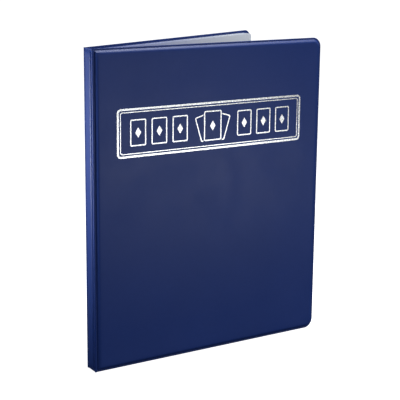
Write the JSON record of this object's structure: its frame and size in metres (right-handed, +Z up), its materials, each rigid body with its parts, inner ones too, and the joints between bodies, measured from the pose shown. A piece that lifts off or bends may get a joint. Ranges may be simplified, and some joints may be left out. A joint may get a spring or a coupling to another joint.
{
  "type": "trading card album",
  "caption": "Slim pocket-page album for trading cards: welded vinyl covers over boards hinged on a narrow spine, with clear pocket pages turning on one welded bead.",
  "frame": {"origin": "foot of the spine, midway between the two hinge lines, on the plane where lining and skin are welded", "axes": "+X from the spine into the album, +Y towards the back cover, +Z up the spine"},
  "size_m": [0.2537, 0.1071, 0.306],
  "materials": {
    "cover_vinyl": "satin navy vinyl with a fine grain",
    "lining_vinyl": "matte navy vinyl",
    "greyboard": "raw grey bookbinding board",
    "stamping_foil": "hot-stamped silver foil",
    "binding_film": "welded translucent film",
    "page_film": "milky polypropylene film",
    "pocket_film": "clear polypropylene film"
  },
  "bodies": {
    "spine": {"spine_outer_skin": "cover_vinyl", "spine_inner_lining": "lining_vinyl", "spine_board": "greyboard"},
    "front_cover": {"front_outer_skin": "cover_vinyl", "front_inner_lining": "lining_vinyl", "front_board": "greyboard", "foil_frame": "stamping_foil", "foil_card_row": "stamping_foil", "foil_card_fan": "stamping_foil"},
    "back_cover": {"back_outer_skin": "cover_vinyl", "back_inner_lining": "lining_vinyl", "back_board": "greyboard", "page_binding_tab": "binding_film", "page_weld_bead": "binding_film"},
    "page_01": {"page_01_sheet": "page_film", "page_01_pockets": "pocket_film"},
    "page_02": {"page_02_sheet": "page_film", "page_02_pockets": "pocket_film"},
    "page_03": {"page_03_sheet": "page_film", "page_03_pockets": "pocket_film"},
    "page_04": {"page_04_sheet": "page_film", "page_04_pockets": "pocket_film"},
    "page_05": {"page_05_sheet": "page_film", "page_05_pockets": "pocket_film"},
    "page_06": {"page_06_sheet": "page_film", "page_06_pockets": "pocket_film"},
    "page_07": {"page_07_sheet": "page_film", "page_07_pockets": "pocket_film"},
    "page_08": {"page_08_sheet": "page_film", "page_08_pockets": "pocket_film"},
    "page_09": {"page_09_sheet": "page_film", "page_09_pockets": "pocket_film"},
    "page_10": {"page_10_sheet": "page_film", "page_10_pockets": "pocket_film"}
  },
  "joints": [
    {"name": "front_cover_hinge", "type": "hinge", "parent": "spine", "child": "front_cover", "pos_m": [0, -0.00725, 0.153], "axis": [0, 0, -1], "range_deg": [-3, 172]},
    {"name": "back_cover_hinge", "type": "hinge", "parent": "spine", "child": "back_cover", "pos_m": [0, 0.00725, 0.153], "axis": [0, 0, 1], "range_deg": [-17.5, 157.5]},
    {"name": "page_10_turn", "type": "hinge", "parent": "back_cover", "child": "page_10", "pos_m": [0.00919, 0.0047, 0.153], "axis": [0, 0, -1], "range_deg": [0, 17.5]},
    {"name": "page_09_turn", "type": "hinge", "parent": "page_10", "child": "page_09", "pos_m": [0.00919, 0.0047, 0.153], "axis": [0, 0, -1], "range_deg": [0, 17.5]},
    {"name": "page_08_turn", "type": "hinge", "parent": "page_09", "child": "page_08", "pos_m": [0.00919, 0.0047, 0.153], "axis": [0, 0, -1], "range_deg": [0, 17.5]},
    {"name": "page_07_turn", "type": "hinge", "parent": "page_08", "child": "page_07", "pos_m": [0.00919, 0.0047, 0.153], "axis": [0, 0, -1], "range_deg": [0, 17.5]},
    {"name": "page_06_turn", "type": "hinge", "parent": "page_07", "child": "page_06", "pos_m": [0.00919, 0.0047, 0.153], "axis": [0, 0, -1], "range_deg": [0, 17.5]},
    {"name": "page_05_turn", "type": "hinge", "parent": "page_06", "child": "page_05", "pos_m": [0.00919, 0.0047, 0.153], "axis": [0, 0, -1], "range_deg": [0, 17.5]},
    {"name": "page_04_turn", "type": "hinge", "parent": "page_05", "child": "page_04", "pos_m": [0.00919, 0.0047, 0.153], "axis": [0, 0, -1], "range_deg": [0, 17.5]},
    {"name": "page_03_turn", "type": "hinge", "parent": "page_04", "child": "page_03", "pos_m": [0.00919, 0.0047, 0.153], "axis": [0, 0, -1], "range_deg": [0, 17.5]},
    {"name": "page_02_turn", "type": "hinge", "parent": "page_03", "child": "page_02", "pos_m": [0.00919, 0.0047, 0.153], "axis": [0, 0, -1], "range_deg": [0, 17.5]},
    {"name": "page_01_turn", "type": "hinge", "parent": "page_02", "child": "page_01", "pos_m": [0.00919, 0.0047, 0.153], "axis": [0, 0, -1], "range_deg": [0, 17.5]}
  ]
}
